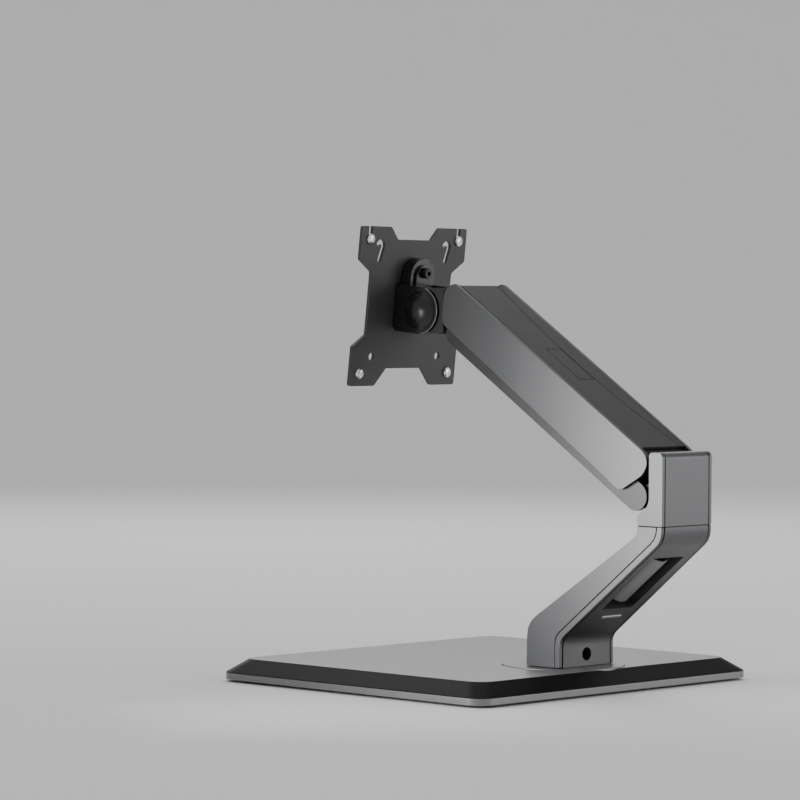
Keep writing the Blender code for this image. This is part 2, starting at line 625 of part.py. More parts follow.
def coil(name, parent, start, end, radius, wire, turns):
    """Helical compression spring along Y, on a poly spline with a round section."""
    curve = bpy.data.curves.new(name, "CURVE")
    curve.dimensions = "3D"
    curve.bevel_depth = wire
    curve.bevel_resolution = 1
    curve.use_fill_caps = True
    per_turn = 12
    count = turns * per_turn
    spline = curve.splines.new("POLY")
    spline.points.add(count)
    for i in range(count + 1):
        a = 2 * pi * i / per_turn
        y = start - wire + (end - start + 2 * wire) * i / count
        spline.points[i].co = (radius * cos(a), y, 0.001 + radius * sin(a), 1)
    shape = bpy.data.objects.new(name, curve)
    bpy.context.scene.collection.objects.link(shape)
    bpy.context.view_layer.update()
    mesh = bpy.data.meshes.new_from_object(shape.evaluated_get(bpy.context.evaluated_depsgraph_get()))
    bpy.data.objects.remove(shape)
    weld(mesh)
    return finish_piece(mesh, name, parent, "spring_steel", 60)


# ---------------------------------------------------------------- front knuckle and head

def make_knuckle(knuckle):
    """Origin at the upper front pivot."""
    ly, lz = LINK_DY, LINK_DZ
    tongue = arc(0, 0, 0.0080, 0, 180, 14) + [(-0.0080, lz - 0.0015), (ly + 0.0078, lz - 0.0015)]
    body = slab("front_knuckle", [tongue], -0.0166, 0.0166, SIDE_PLANE, knuckle, "cast_grey")
    foot = slab("knuckle_foot", [circle(ly, lz, 0.0084, 24)], -0.0164, 0.0164, SIDE_PLANE, knuckle, None)
    pin_y = SWIVEL_Y - front_pivot()[0]
    lug_low, lug_high = TILT_Z - front_pivot()[1] - 0.0080, TILT_Z - front_pivot()[1] + 0.0039
    lug = arc(0, pin_y, 0.0084, 180, 360, 14) + [(0.0084, 0.002), (-0.0084, 0.002)]
    tongue_out = slab("knuckle_lug", [lug], lug_low, lug_high, PLAN_PLANE, knuckle, None)
    join(body, foot, tongue_out)
    cut(body,
        rod("knuckle_bore_up", "X", (0, 0), PIN_RADIUS + GAP, -0.05, 0.05, knuckle, None, 20),
        rod("knuckle_bore_low", "X", (ly, lz), LINK_PIN_RADIUS + GAP, -0.05, 0.05, knuckle, None, 20),
        rod("knuckle_bore_pin", "Z", (0, pin_y), 0.0035 + GAP, -0.05, 0.05, knuckle, None, 20))
    rod("swivel_pin", "Z", (0, pin_y), 0.0035, lug_low - 0.0068, lug_high + 0.0058, knuckle, "steel", 20)


def front_pivot():
    """Upper front pivot at rest, in world (Y, Z)."""
    return PIVOT_Y - ARM_LENGTH * cos(ARM_ANGLE), PIVOT_Z + ARM_LENGTH * sin(ARM_ANGLE)


def make_neck(neck):
    """Origin on the swivel axis at the tilt axis's height."""
    half = 0.0168
    ty = -TILT_REACH
    hug = 0.0181
    bite = atan2(half, (hug**2 - half**2) ** 0.5) * 180 / pi
    rear = -0.0030
    saddle = [(rear, -half), (rear, half)] + arc(ty, 0, hug, bite, -bite, 16)
    body = slab("swivel_neck", [saddle], -0.0165, 0.0165, SIDE_PLANE, neck, "cast_grey")
    tongue = arc(ty, 0, 0.0160, 75, 285, 24) + [(rear - 0.0015, -0.0155), (rear - 0.0015, 0.0155)]
    web = slab("neck_tongue", [tongue], -0.0087, 0.0087, SIDE_PLANE, neck, None)
    ear = arc(0, 0, 0.0082, 0, 180, 14) + [(-0.0082, rear - 0.0015), (0.0082, rear - 0.0015)]
    top = slab("neck_ear_top", [ear], 0.0042, 0.0099, PLAN_PLANE, neck, None)
    bottom = slab("neck_ear_low", [ear], -0.0151, -0.0083, PLAN_PLANE, neck, None)
    join(body, web, top, bottom)
    pocket = arc(0, 0, 0.0090, 180, 360, 16) + [(0.0090, 0.01), (-0.0090, 0.01)]
    cut(body,
        slab("neck_pocket", [pocket], -0.0083, 0.0042, PLAN_PLANE, neck, None),
        rod("neck_bore_pin", "Z", (0, 0), 0.0035 + GAP, -0.03, 0.03, neck, None, 20),
        rod("neck_bore_tilt", "X", (ty, 0), 0.0040 + GAP, -0.03, 0.03, neck, None, 20))


def make_tilt_body(tilt):
    """Origin on the tilt axis; the plate lies towards -Y."""
    front = -0.0250
    side = [(front, -TILT_RADIUS + 0.0035)] + [(front + 0.0025, -TILT_RADIUS)]
    side += arc(0, 0, TILT_RADIUS, -90, 90, 24) + [(front + 0.0010, TILT_RADIUS), (front, TILT_RADIUS - 0.001)]
    body = slab("tilt_body", [side], -0.0180, 0.0180, SIDE_PLANE, tilt, "gloss_black")
    arch_z, arch_r = 0.0235, 0.0135
    arch = arc(0, arch_z, arch_r, 0, 180, 20) + [(-arch_r, 0.002), (arch_r, 0.002)]
    boss = slab("lock_boss", [arch], -front - 0.0100, -front - 0.0002, FACE_PLANE, tilt, None)
    pad = arc(0, arch_z, arch_r - 0.0045, 0, 180, 16) + [(-arch_r + 0.0045, 0.004), (arch_r - 0.0045, 0.004)]
    step = slab("lock_pad", [pad], -front - 0.0119, -front - 0.0020, FACE_PLANE, tilt, None)
    join(body, boss, step)
    slot = arc(0, 0, 0.0166, 131.5, 228.5, 12)
    slot += [(slot[-1][0], -0.03), (0.03, -0.03), (0.03, 0.03), (slot[0][0], 0.03)]
    cut(body,
        slab("tilt_slot", [slot], -0.0090, 0.0090, SIDE_PLANE, tilt, None),
        rod("tilt_bore", "X", (0, 0), 0.0040 + GAP, -0.03, 0.03, tilt, None, 20),
        rod("turn_bore", "Y", (0, 0), 0.0060 + GAP, front - 0.01, 0.0, tilt, None, 24),
        rod("lock_screw_bore", "Y", (0, 0.0265), 0.0028, front + 0.004, 0.0, tilt, None, 20))
    cap_screw("rotation_lock_screw", 0, 0.0265, FACE_PLANE, 0.0039, 0.0090, 0.0128, 0.0025, 0.0200, tilt,
              "black_steel")

    rod("tilt_bolt", "X", (0, 0), 0.0040, -0.0178, 0.0178, tilt, "steel", 20)
    for side_sign, name in ((1, "left"), (-1, "right")):
        rim, crown, skin = 0.0146, 0.0056, 0.0018
        ball = (rim**2 + crown**2) / (2 * crown)
        span = atan2(rim, ball - crown)
        outside = [(ball * sin(span * k / 8), ball * cos(span * k / 8) - ball + crown) for k in range(9)]
        inside = [(r * (rim - skin) / rim, max(h - skin, 0.0)) for r, h in reversed(outside)]
        turn = Matrix.Rotation(side_sign * pi / 2, 4, "Y")
        place = Matrix.Translation((side_sign * (0.0180 + GAP), 0, 0)) @ turn
        turned(f"tilt_cap_{name}", outside + inside, tilt, "gloss_black", place)


def make_plate(turn):
    """VESA plate and what turns with it. Local -Y faces the screen."""
    half = PLATE_SIZE / 2
    back, front = PLATE_BACK, PLATE_BACK + PLATE_THICK
    waist, shoulder = 0.0455, 0.0345
    notch_low, notch_high, notch_cut = 0.0185, 0.0270, 0.0095
    foot_in, foot_out, foot_cut = 0.0200, 0.0320, 0.0130
    right = [
        (notch_low, half - notch_cut, 0.001), (notch_high, half, 0.002),
        (0.0480, half, 0.0005), (0.0480, 0.0478, 0.0015), (0.0520, 0.0478, 0.0015),
        (0.0520, half, 0.0005), (half, half, 0.002), (half, shoulder, 0.002), (waist, 0.0255, 0.003),
        (waist, -0.0210, 0.003), (half, -0.0300, 0.002), (half, -half, 0.002),
        (foot_out, -half, 0.002), (foot_in, -half + foot_cut, 0.001),
    ]
    outline = rounded(right + [(-x, z, r) for x, z, r in reversed(right)], 30)
    small = VESA_SMALL / 2
    holes = [circle(0, 0, 0.0080, 24)]
    for side in (1, -1):
        x = side * VESA_LARGE / 2
        holes.append(circle(x, -VESA_LARGE / 2, 0.0023, 12))
        holes.append(circle(side * small, -small, 0.0030, 12))
        holes.append(keyhole(side * small, small))
    plate = slab("vesa_plate", [outline] + holes, back, front, FACE_PLANE, turn, "charcoal")
    cut(plate, rod("spindle_sink", "Y", (0, 0), 0.0123, -front - 0.002, -front + 0.0017, turn, None, 32))

    reach = VESA_LARGE / 2
    for number, (x, z) in enumerate(((-reach, -reach), (-reach, reach), (reach, -reach), (reach, reach)), 1):
        cap_screw(f"monitor_screw_{number}", x, z, FACE_PLANE, 0.0040, back - 0.0024, back - GAP, 0.0015,
                  front + 0.0080, turn, "zinc")
    rod("rotation_washer", "Y", (0, 0), 0.0160, -back + GAP, -0.0250 - GAP, turn, "acetal", 32, 0.0085)
    seat, face = front - 0.0014, front - 0.0002
    profile = [(0, 0.0172), (0.0060, 0.0172), (0.0060, seat), (0.0120, seat), (0.0120, face), (0, face)]
    turned("rotation_spindle", profile, turn, "steel", FACE_PLANE)


def keyhole(x, z):
    """A hooked slot of even width: a leg that leans up from the pattern's hole and bends over to its entry."""
    path = [(0.0005, -0.0030), (-0.0015, 0.0035), (-0.0026, 0.0072), (-0.0024, 0.0092), (-0.0010, 0.0104),
            (0.0008, 0.0104), (0.0026, 0.0092)]
    path = [Vector((x + a, z + b)) for a, b in path]
    half = 0.0020
    sides = [[], []]
    for i, here in enumerate(path):
        along = (path[min(i + 1, len(path) - 1)] - path[max(i - 1, 0)]).normalized()
        across = Vector((-along.y, along.x)) * half
        sides[0].append(tuple(here + across))
        sides[1].append(tuple(here - across))
    first, last = path[1] - path[0], path[-1] - path[-2]
    start = atan2(first.y, first.x) * 180 / pi
    end = atan2(last.y, last.x) * 180 / pi
    cap_low = arc(*path[0], half, start + 90, start + 270, 6)[1:-1]
    cap_high = arc(*path[-1], half + 0.0001, end - 90, end + 90, 6)[1:-1]
    return cap_low + sides[1] + cap_high + list(reversed(sides[0]))


# ---------------------------------------------------------------- assembly

def main():
    make_base()

    turn = axis_empty("base_swivel_axis", (0, TURN_Y, 0))
    make_turntable(turn)
    make_riser(turn)
    make_housing(turn)

    slope = Matrix.Rotation(-ARM_ANGLE, 4, "X")
    arm = axis_empty("arm_lift_axis", (0, PIVOT_Y, PIVOT_Z), slope, turn)
    tab = make_arm(arm)
    latch = axis_empty("cover_latch_axis", (0, PIVOT_Y, PIVOT_Z), slope, arm)
    make_latch(latch, *tab)
    slide = axis_empty("spring_slide_axis", (0, PIVOT_Y, PIVOT_Z), slope, arm)
    make_spring(arm, slide)

    link_y, link_z = PIVOT_Y + LINK_DY, PIVOT_Z + LINK_DZ
    link = axis_empty("lower_link_axis", (0, link_y, link_z), slope, turn)
    make_lower_link(link)
    front_y, front_z = front_pivot()
    knuckle = axis_empty("knuckle_axis", (0, front_y, front_z), None, arm)
    make_knuckle(knuckle)
    link_front = axis_empty("link_front_axis", (0, front_y + LINK_DY, front_z + LINK_DZ), None, knuckle)
    make_pins(arm, link, link_front)

    neck = axis_empty("head_swivel_axis", (0, SWIVEL_Y, TILT_Z), Matrix.Rotation(HEAD_YAW, 4, "Z"), knuckle)
    make_neck(neck)
    tilt_place = neck.matrix_world @ Matrix.Translation((0, -TILT_REACH, 0))
    lean = Matrix.Rotation(HEAD_YAW, 4, "Z") @ Matrix.Rotation(-HEAD_TILT, 4, "X")
    tilt = axis_empty("head_tilt_axis", tilt_place.to_translation(), lean, neck)
    make_tilt_body(tilt)
    plate = axis_empty("plate_rotation_axis", tilt_place.to_translation(), lean, tilt)
    make_plate(plate)


main()
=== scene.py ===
"""Looks of the free-standing monitor arm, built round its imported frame."""

import json
from math import atan2, cos, pi, radians, sin

import bmesh
import bpy
from mathutils import Matrix, Vector
from mathutils.bvhtree import BVHTree


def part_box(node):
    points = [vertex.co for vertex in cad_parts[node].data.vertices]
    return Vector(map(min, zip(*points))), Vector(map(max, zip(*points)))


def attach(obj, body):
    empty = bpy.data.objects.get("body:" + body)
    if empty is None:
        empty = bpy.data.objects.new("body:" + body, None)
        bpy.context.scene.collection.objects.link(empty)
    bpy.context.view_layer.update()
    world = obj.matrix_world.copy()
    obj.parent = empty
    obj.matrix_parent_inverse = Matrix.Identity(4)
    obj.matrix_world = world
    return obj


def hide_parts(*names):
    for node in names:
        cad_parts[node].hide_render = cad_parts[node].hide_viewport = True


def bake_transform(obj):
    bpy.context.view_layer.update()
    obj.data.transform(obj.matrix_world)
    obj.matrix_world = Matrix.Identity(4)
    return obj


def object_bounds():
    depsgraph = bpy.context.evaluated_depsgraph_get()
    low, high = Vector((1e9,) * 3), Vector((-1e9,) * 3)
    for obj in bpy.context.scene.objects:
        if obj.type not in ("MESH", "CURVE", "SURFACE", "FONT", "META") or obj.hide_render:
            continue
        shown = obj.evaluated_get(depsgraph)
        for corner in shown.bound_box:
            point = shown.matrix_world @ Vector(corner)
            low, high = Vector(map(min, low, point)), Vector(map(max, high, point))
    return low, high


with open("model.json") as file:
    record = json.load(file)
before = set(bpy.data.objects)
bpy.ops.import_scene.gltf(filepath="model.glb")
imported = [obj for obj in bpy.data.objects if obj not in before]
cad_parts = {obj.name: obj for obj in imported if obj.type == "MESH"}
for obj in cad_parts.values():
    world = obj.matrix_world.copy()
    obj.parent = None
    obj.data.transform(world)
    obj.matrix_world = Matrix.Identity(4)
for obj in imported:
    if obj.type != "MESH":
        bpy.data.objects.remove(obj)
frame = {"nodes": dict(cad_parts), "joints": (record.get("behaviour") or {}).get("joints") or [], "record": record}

bl_info = {
    "name": "Monitor Arm Looks",
    "version": (1, 0, 0),
    "blender": (4, 5, 0),
    "location": "View3D > Sidebar > Monitor Arm",
    "description": "Finishes, rounded edges and studio for a free-standing monitor arm",
    "category": "Object",
}

CAD_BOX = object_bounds()
BODY_OF = {node: body for body, nodes in frame["record"]["behaviour"]["bodies"].items() for node in nodes}
SLOT_OF = {entry["node"]: entry["material_slot"] for entry in frame["record"]["subparts"]}
JOINTS = {joint["name"]: joint for joint in frame["joints"]}


# ---------------------------------------------------------------- shader maths

class Value:
    """A shader socket that arithmetic works on. Each expression adds its Math nodes."""

    def __init__(self, finish, socket):
        self.finish = finish
        self.socket = socket

    def math(self, operation, first, second=None):
        values = {0: first} if second is None else {0: first, 1: second}
        return self.finish.node("ShaderNodeMath", {"operation": operation}, values)

    def __add__(self, other):
        return self.math("ADD", self, other)

    def __radd__(self, other):
        return self.math("ADD", other, self)

    def __sub__(self, other):
        return self.math("SUBTRACT", self, other)

    def __rsub__(self, other):
        return self.math("SUBTRACT", other, self)

    def __mul__(self, other):
        return self.math("MULTIPLY", self, other)

    def __rmul__(self, other):
        return self.math("MULTIPLY", other, self)

    def __truediv__(self, other):
        return self.math("DIVIDE", self, other)

    def __rtruediv__(self, other):
        return self.math("DIVIDE", other, self)

    def __pow__(self, other):
        return self.math("POWER", self, other)

    def absolute(self):
        return self.math("ABSOLUTE", self)

    def clamped(self):
        return self.finish.node("ShaderNodeClamp", {}, {"Value": self})


class Finish:
    """A material under construction: its Principled shader and the nodes that feed it."""

    def __init__(self, name, roughness, metallic, **constants):
        self.material = bpy.data.materials.new(name)
        self.material.use_nodes = True
        self.tree = self.material.node_tree
        self.shader = self.tree.nodes["Principled BSDF"]
        self.feed(Roughness=roughness, Metallic=metallic)
        for socket, value in constants.items():
            self.shader.inputs[socket.replace("_", " ")].default_value = value

    def node(self, kind, settings, sockets, output=0):
        """Adds a node, sets it up, then gives its sockets values or links."""
        added = self.tree.nodes.new(kind)
        for key, value in settings.items():
            if key == "stops":
                self.set_stops(added.color_ramp, value)
            else:
                setattr(added, key, value)
        for key, value in sockets.items():
            self.plug(added.inputs[key], value)
        return Value(self, added.outputs[output])

    def set_stops(self, ramp, stops):
        for element, (position, shade) in zip(ramp.elements, stops):
            element.position = position
            element.color = (shade, shade, shade, 1)

    def plug(self, socket, value):
        if isinstance(value, Value):
            self.tree.links.new(value.socket, socket)
        else:
            socket.default_value = value

    def feed(self, **sockets):
        for name, value in sockets.items():
            self.plug(self.shader.inputs[name.replace("_", " ")], value)

    def place(self):
        """The surface point in the object's own space, in metres."""
        return self.node("ShaderNodeTexCoord", {}, {}, "Object")

    def axis(self, name):
        return self.node("ShaderNodeSeparateXYZ", {}, {"Vector": self.place()}, name)

    def noise(self, scale, detail=2.0, stretch=None):
        point = self.place()
        if stretch:
            point = self.node("ShaderNodeVectorMath", {"operation": "MULTIPLY"}, {0: point, 1: stretch})
        return self.node("ShaderNodeTexNoise", {}, {"Vector": point, "Scale": scale, "Detail": detail}, "Fac")

    def grains(self, scale):
        return self.node("ShaderNodeTexVoronoi", {}, {"Vector": self.place(), "Scale": scale}, "Distance")

    def mix(self, factor, first, second):
        return self.node("ShaderNodeMix", {"data_type": "RGBA"}, {0: factor, 6: first, 7: second}, 2)

    def bump(self, height, strength, distance):
        normal = self.node("ShaderNodeBump", {}, {"Height": height, "Strength": strength, "Distance": distance})
        self.feed(Normal=normal)


def shade_of(color, factor):
    return (*[min(1.0, c * factor) for c in color[:3]], 1.0)


# ---------------------------------------------------------------- finishes

def satin_metal(name, color, roughness=0.40, metallic=0.85, grain=1.0):
    """Blasted and painted aluminium: a fine even grain that sparkles a little, softly mottled."""
    made = Finish(name, roughness, metallic)
    speck = made.noise(2600, 1.0)
    cloud = made.noise(28, 3.0)
    tone = (speck - 0.5) * 0.55 * grain + (cloud - 0.5) * 0.28 + 0.5
    made.feed(Base_Color=made.mix(tone.clamped(), shade_of(color, 0.80), shade_of(color, 1.22)))
    made.feed(Roughness=roughness + (cloud - 0.5) * 0.10 + (speck - 0.5) * 0.12)
    made.bump(speck + made.grains(1500) * 0.4, 0.22 * grain, 0.00006)
    return made.material


def matte_coat(name, color, roughness=0.55, grain=1.0):
    """Matt powder coat with a pebbled skin."""
    made = Finish(name, roughness, 0.0, Specular_IOR_Level=0.45)
    pebble = made.noise(1700, 2.0)
    cloud = made.noise(35, 3.0)
    tone = (pebble - 0.5) * 0.5 + (cloud - 0.5) * 0.35 + 0.5
    made.feed(Base_Color=made.mix(tone.clamped(), shade_of(color, 0.82), shade_of(color, 1.2)))
    made.feed(Roughness=roughness + (cloud - 0.5) * 0.12)
    made.bump(pebble, 0.30 * grain, 0.00008)
    return made.material


def gloss_plastic(name, color, roughness=0.27):
    """Moulded plastic with a polished skin, faintly rippled and dusted with fine scuffs."""
    made = Finish(name, roughness, 0.0, Coat_Roughness=0.12, Specular_IOR_Level=0.42)
    ripple = made.noise(90, 2.0)
    scuff = made.noise(500, 2.0, (1.0, 0.3, 1.0))
    made.feed(Base_Color=made.mix(ripple, shade_of(color, 0.85), shade_of(color, 1.15)))
    made.feed(Roughness=roughness + (ripple - 0.5) * 0.05 + (scuff - 0.5) * 0.03)
    made.feed(Coat_Weight=0.15)
    made.bump(ripple, 0.01, 0.0001)
    return made.material


def machined_steel(name, color, roughness=0.24, lay=(1.0, 1.0, 14.0)):
    """Turned or ground steel with fine tool marks across the part."""
    made = Finish(name, roughness, 1.0)
    marks = made.noise(420, 3.0, lay)
    stain = made.noise(60, 2.0)
    made.feed(Base_Color=made.mix(stain, shade_of(color, 0.86), shade_of(color, 1.1)))
    made.feed(Roughness=roughness + (marks - 0.5) * 0.14)
    made.bump(marks, 0.12, 0.00004)
    return made.material


def moulded_rubber(name, color):
    """Foam rubber with an open, dusty skin."""
    made = Finish(name, 0.88, 0.0, Specular_IOR_Level=0.25)
    pores = made.grains(900)
    cloud = made.noise(45, 2.0)
    made.feed(Base_Color=made.mix(cloud, shade_of(color, 0.8), shade_of(color, 1.5)))
    made.bump(pores, 0.5, 0.0002)
    return made.material


def sheen_and_shade_cover(name, sheen_color, edge_color, level):
    """The base cover in one grey finish: painted sheen makes its flat top lighter and painted shade makes the sloping
    border near-black.
    """
    made = Finish(name, 0.36, 0.7, Specular_IOR_Level=0.10)
    speck = made.noise(2600, 1.0)
    cloud = made.noise(14, 3.0, (1.0, 2.5, 1.0))
    # painted sheen above this level on the flat top, painted shade below it on the sloping border
    on_top = ((made.axis("Z") - level) * 4000.0).clamped()
    grain = ((speck - 0.5) * 0.5 + (cloud - 0.5) * 0.3 + 0.5).clamped()
    grey = made.mix(grain, shade_of(sheen_color, 0.82), shade_of(sheen_color, 1.2))
    black = made.mix(grain, shade_of(edge_color, 0.8), shade_of(edge_color, 1.3))
    made.feed(Base_Color=made.mix(on_top, black, grey))
    made.feed(Roughness=0.42 - on_top * 0.04 + (cloud - 0.5) * 0.08 + (speck - 0.5) * 0.1)
    made.feed(Metallic=on_top * 0.80)
    made.bump(speck, 0.2, 0.00006)
    return made.material


def finish_of(kind, looks):
    """The material of a record slot, made once."""
    name = f"arm_{kind}"
    if name in bpy.data.materials:
        return bpy.data.materials[name]
    makers = {
        "space_grey": lambda: satin_metal(name, looks.metal, 0.40),
        "cast_grey": lambda: satin_metal(name, shade_of(looks.metal, 0.40), 0.46, 0.5, 1.3),
        "charcoal": lambda: matte_coat(name, looks.coat),
        "plate_coat": lambda: matte_coat(name, shade_of(looks.coat, 2.0)),
        "black_steel": lambda: matte_coat(name, looks.border, 0.42, 0.7),
        "gloss_black": lambda: gloss_plastic(name, looks.plastic),
        "steel": lambda: machined_steel(name, (0.55, 0.56, 0.58)),
        "zinc": lambda: machined_steel(name, (0.72, 0.73, 0.75), 0.2, (1.0, 9.0, 1.0)),
        "bright_screw": lambda: machined_steel(name, (0.86, 0.87, 0.88), 0.22, (1.0, 1.0, 1.0)),
        "rubber": lambda: moulded_rubber(name, (0.014, 0.014, 0.015)),
        "acetal": lambda: matte_coat(name, (0.60, 0.60, 0.57), 0.42, 0.3),
        "spring_steel": lambda: machined_steel(name, (0.34, 0.35, 0.37), 0.3),
        # painted sheen: the metal colour twice as light, for the turntable's top
        "painted_sheen_grey": lambda: satin_metal(name, shade_of(looks.metal, 2.0), 0.38, 0.8, 0.8),
        "link_grey": lambda: satin_metal(name, shade_of(looks.metal, 0.60), 0.42),
        # painted shade: near-black, laid into seams between parts
        "painted_shade_black": lambda: matte_coat(name, (0.008, 0.008, 0.009), 0.7, 0.4),
        # painted highlight: the metal colour 3.4 times lighter, for bright edge lines
        "painted_highlight": lambda: satin_metal(name, shade_of(looks.metal, 3.4), 0.36, 0.8, 0.3),
        # painted light: the metal colour 1.9 times lighter, for faces shown as lit
        "painted_light_grey": lambda: satin_metal(name, shade_of(looks.metal, 1.9), 0.38, 0.7, 0.5),
        "knob_black": lambda: matte_coat(name, (0.014, 0.014, 0.015), 0.40, 0.8),
    }
    return makers[kind]()


# ---------------------------------------------------------------- pieces

def clean_copy(node):
    """A copy of a CAD node's mesh with its triangles merged back into flat faces."""
    work = bmesh.new()
    work.from_mesh(frame["nodes"][node].data)
    bmesh.ops.remove_doubles(work, verts=work.verts, dist=0.000002)
    bmesh.ops.dissolve_limit(work, angle_limit=radians(0.8), verts=work.verts, edges=work.edges)
    bmesh.ops.triangulate(work, faces=[face for face in work.faces if len(face.verts) > 4])
    mesh = bpy.data.meshes.new(node)
    for face in work.faces:
        face.smooth = True
    work.to_mesh(mesh)
    work.free()
    return mesh


def show_piece(name, mesh, body, kind, looks, *nodes):
    """Puts a piece in the scene on its body, if given, in its finish, in place of the CAD nodes named."""
    piece = bpy.data.objects.new(name, mesh)
    bpy.context.scene.collection.objects.link(piece)
    mesh.materials.clear()
    mesh.materials.append(finish_of(kind, looks))
    if body:
        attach(piece, body)
    if nodes:
        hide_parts(*nodes)
    return piece


def soften(piece, width, segments=3, angle=28):
    """Rounds a piece's sharp edges."""
    bevel = piece.modifiers.new("rounded edges", "BEVEL")
    bevel.width = width
    bevel.segments = segments
    bevel.limit_method = "ANGLE"
    bevel.angle_limit = radians(angle)
    bevel.miter_outer = "MITER_ARC"
    bevel.face_strength_mode = "FSTR_ALL"
    even = piece.modifiers.new("flat faces", "WEIGHTED_NORMAL")
    even.use_face_influence = True
    even.keep_sharp = True
    even.weight = 100
    return piece


def refine(node, width, looks, kind=None, segments=3):
    """The finished form of a CAD node: same shape, with rounded edges and its own finish."""
    mesh = clean_copy(node)
    piece = show_piece(f"{node}_shell", mesh, BODY_OF[node], kind or SLOT_OF[node], looks, node)
    return soften(piece, width, segments)


def arm_frame_matrix():
    """The arm's own frame: origin on its rear pivot, +Y back along it, +Z up off its top."""
    rear, front = (Vector(JOINTS[name]["pos_m"]) for name in ("arm_lift", "knuckle_level"))
    along = (rear - front).normalized()
    across = Vector((1, 0, 0))
    turn = Matrix((across, along, across.cross(along))).transposed().to_4x4()
    return Matrix.Translation(rear) @ turn


def standing(axis, point):
    """A frame at a point with its Z along an axis."""
    return Matrix.Translation(point) @ Vector(axis).to_track_quat("Z", "Y").to_matrix().to_4x4()


def turned_mesh(name, profile, sides=48):
    """A solid turned round Z from a (radius, height) profile that starts and ends on the axis."""
    work = bmesh.new()
    points = [work.verts.new((radius, 0, height)) for radius, height in profile]
    edges = [work.edges.new(pair) for pair in zip(points, points[1:])]
    bmesh.ops.spin(work, geom=points + edges, cent=(0, 0, 0), axis=(0, 0, 1), angle=2 * pi, steps=sides)
    return mesh_of(work, name)


def ridged_mesh(name, radius, ridge, teeth, low, high):
    """A short cylinder with ridges all round, for the fingers."""
    work = bmesh.new()
    count = teeth * 4
    ring = []
    for i in range(count):
        reach = radius - (ridge if i % 4 in (0, 1) else 0.0)
        ring.append(work.verts.new((reach * cos(2 * pi * i / count), reach * sin(2 * pi * i / count), low)))
    lid = bmesh.ops.extrude_face_region(work, geom=[work.faces.new(ring)])
    raised = [item for item in lid["geom"] if isinstance(item, bmesh.types.BMVert)]
    bmesh.ops.translate(work, verts=raised, vec=(0, 0, high - low))
    return mesh_of(work, name)


def prism_mesh(name, sides, radius, low, high):
    work = bmesh.new()
    bmesh.ops.create_cone(work, cap_ends=True, segments=sides, radius1=radius, radius2=radius, depth=high - low)
    bmesh.ops.translate(work, verts=work.verts, vec=(0, 0, (high + low) / 2))
    return mesh_of(work, name)


def block_mesh(name, size, middle=(0, 0, 0)):
    work = bmesh.new()
    bmesh.ops.create_cube(work, size=1.0, matrix=Matrix.Translation(middle) @ Matrix.Diagonal((*size, 1.0)))
    return mesh_of(work, name)


def mesh_of(work, name):
    """Closes a bmesh into a mesh, welded and smooth, with its faces outward."""
    bmesh.ops.remove_doubles(work, verts=work.verts, dist=0.000001)
    bmesh.ops.recalc_face_normals(work, faces=work.faces)
    mesh = bpy.data.meshes.new(name)
    for face in work.faces:
        face.smooth = True
    work.to_mesh(mesh)
    work.free()
    return mesh


def carved(mesh, cutters, operation="DIFFERENCE"):
    """The mesh with the cutter meshes taken out of it, or joined to it."""
    blank = bpy.data.objects.new("blank", mesh)
    tools = [bpy.data.objects.new("tool", cutter) for cutter in cutters]
    for obj in (blank, *tools):
        bpy.context.scene.collection.objects.link(obj)
    for tool in tools:
        step = blank.modifiers.new("carve", "BOOLEAN")
        step.operation = operation
        step.object = tool
    bpy.context.view_layer.update()
    made = bpy.data.meshes.new_from_object(blank.evaluated_get(bpy.context.evaluated_depsgraph_get()))
    for obj in (blank, *tools):
        bpy.data.objects.remove(obj)
    made.shade_smooth()
    made.set_sharp_from_angle(angle=radians(32))
    return made


def end_of(node, axis):
    """Middle of the node's outermost face along an axis, and the node's length along it."""
    axis = Vector(axis).normalized()
    points = [vertex.co for vertex in frame["nodes"][node].data.vertices]
    heights = [point.dot(axis) for point in points]
    face = [point for point, height in zip(points, heights) if height > max(heights) - 0.00005]
    return sum(face, Vector()) / len(face), max(heights) - min(heights)


def surface_point(node, start, direction):
    """Where a ray meets a CAD node, and the surface's normal there."""
    data = frame["nodes"][node].data
    tree = BVHTree.FromPolygons([v.co for v in data.vertices], [list(f.vertices) for f in data.polygons])
    spot, normal, _, _ = tree.ray_cast(Vector(start), Vector(direction))
    return spot, normal


# ---------------------------------------------------------------- properties

class MonitorArmLooks(bpy.types.PropertyGroup):
    """Colours and edge sizes of the arm."""

    metal: bpy.props.FloatVectorProperty(
        name="Metal", description="Satin metal of the side panels, riser and base", subtype="COLOR",
        size=3, min=0, max=1, default=(0.108, 0.109, 0.112))
    coat: bpy.props.FloatVectorProperty(
        name="Top covers", description="Matt coat of the arm's covers and the screen plate", subtype="COLOR",
        size=3, min=0, max=1, default=(0.022, 0.022, 0.0235))
    # on the base's sloping border this near-black is painted shade; it is also the colour of the black steel parts
    border: bpy.props.FloatVectorProperty(
        name="Base border", description="Near-black sloping border of the base", subtype="COLOR",
        size=3, min=0, max=1, default=(0.005, 0.0052, 0.0052))
    plastic: bpy.props.FloatVectorProperty(
        name="Head plastic", description="Polished plastic of the tilting head", subtype="COLOR",
        size=3, min=0, max=1, default=(0.008, 0.008, 0.009))
    edge: bpy.props.FloatProperty(
        name="Edge", description="Width of the rounding on the panels' edges", unit="LENGTH",
        min=0.0001, max=0.002, default=0.0007)


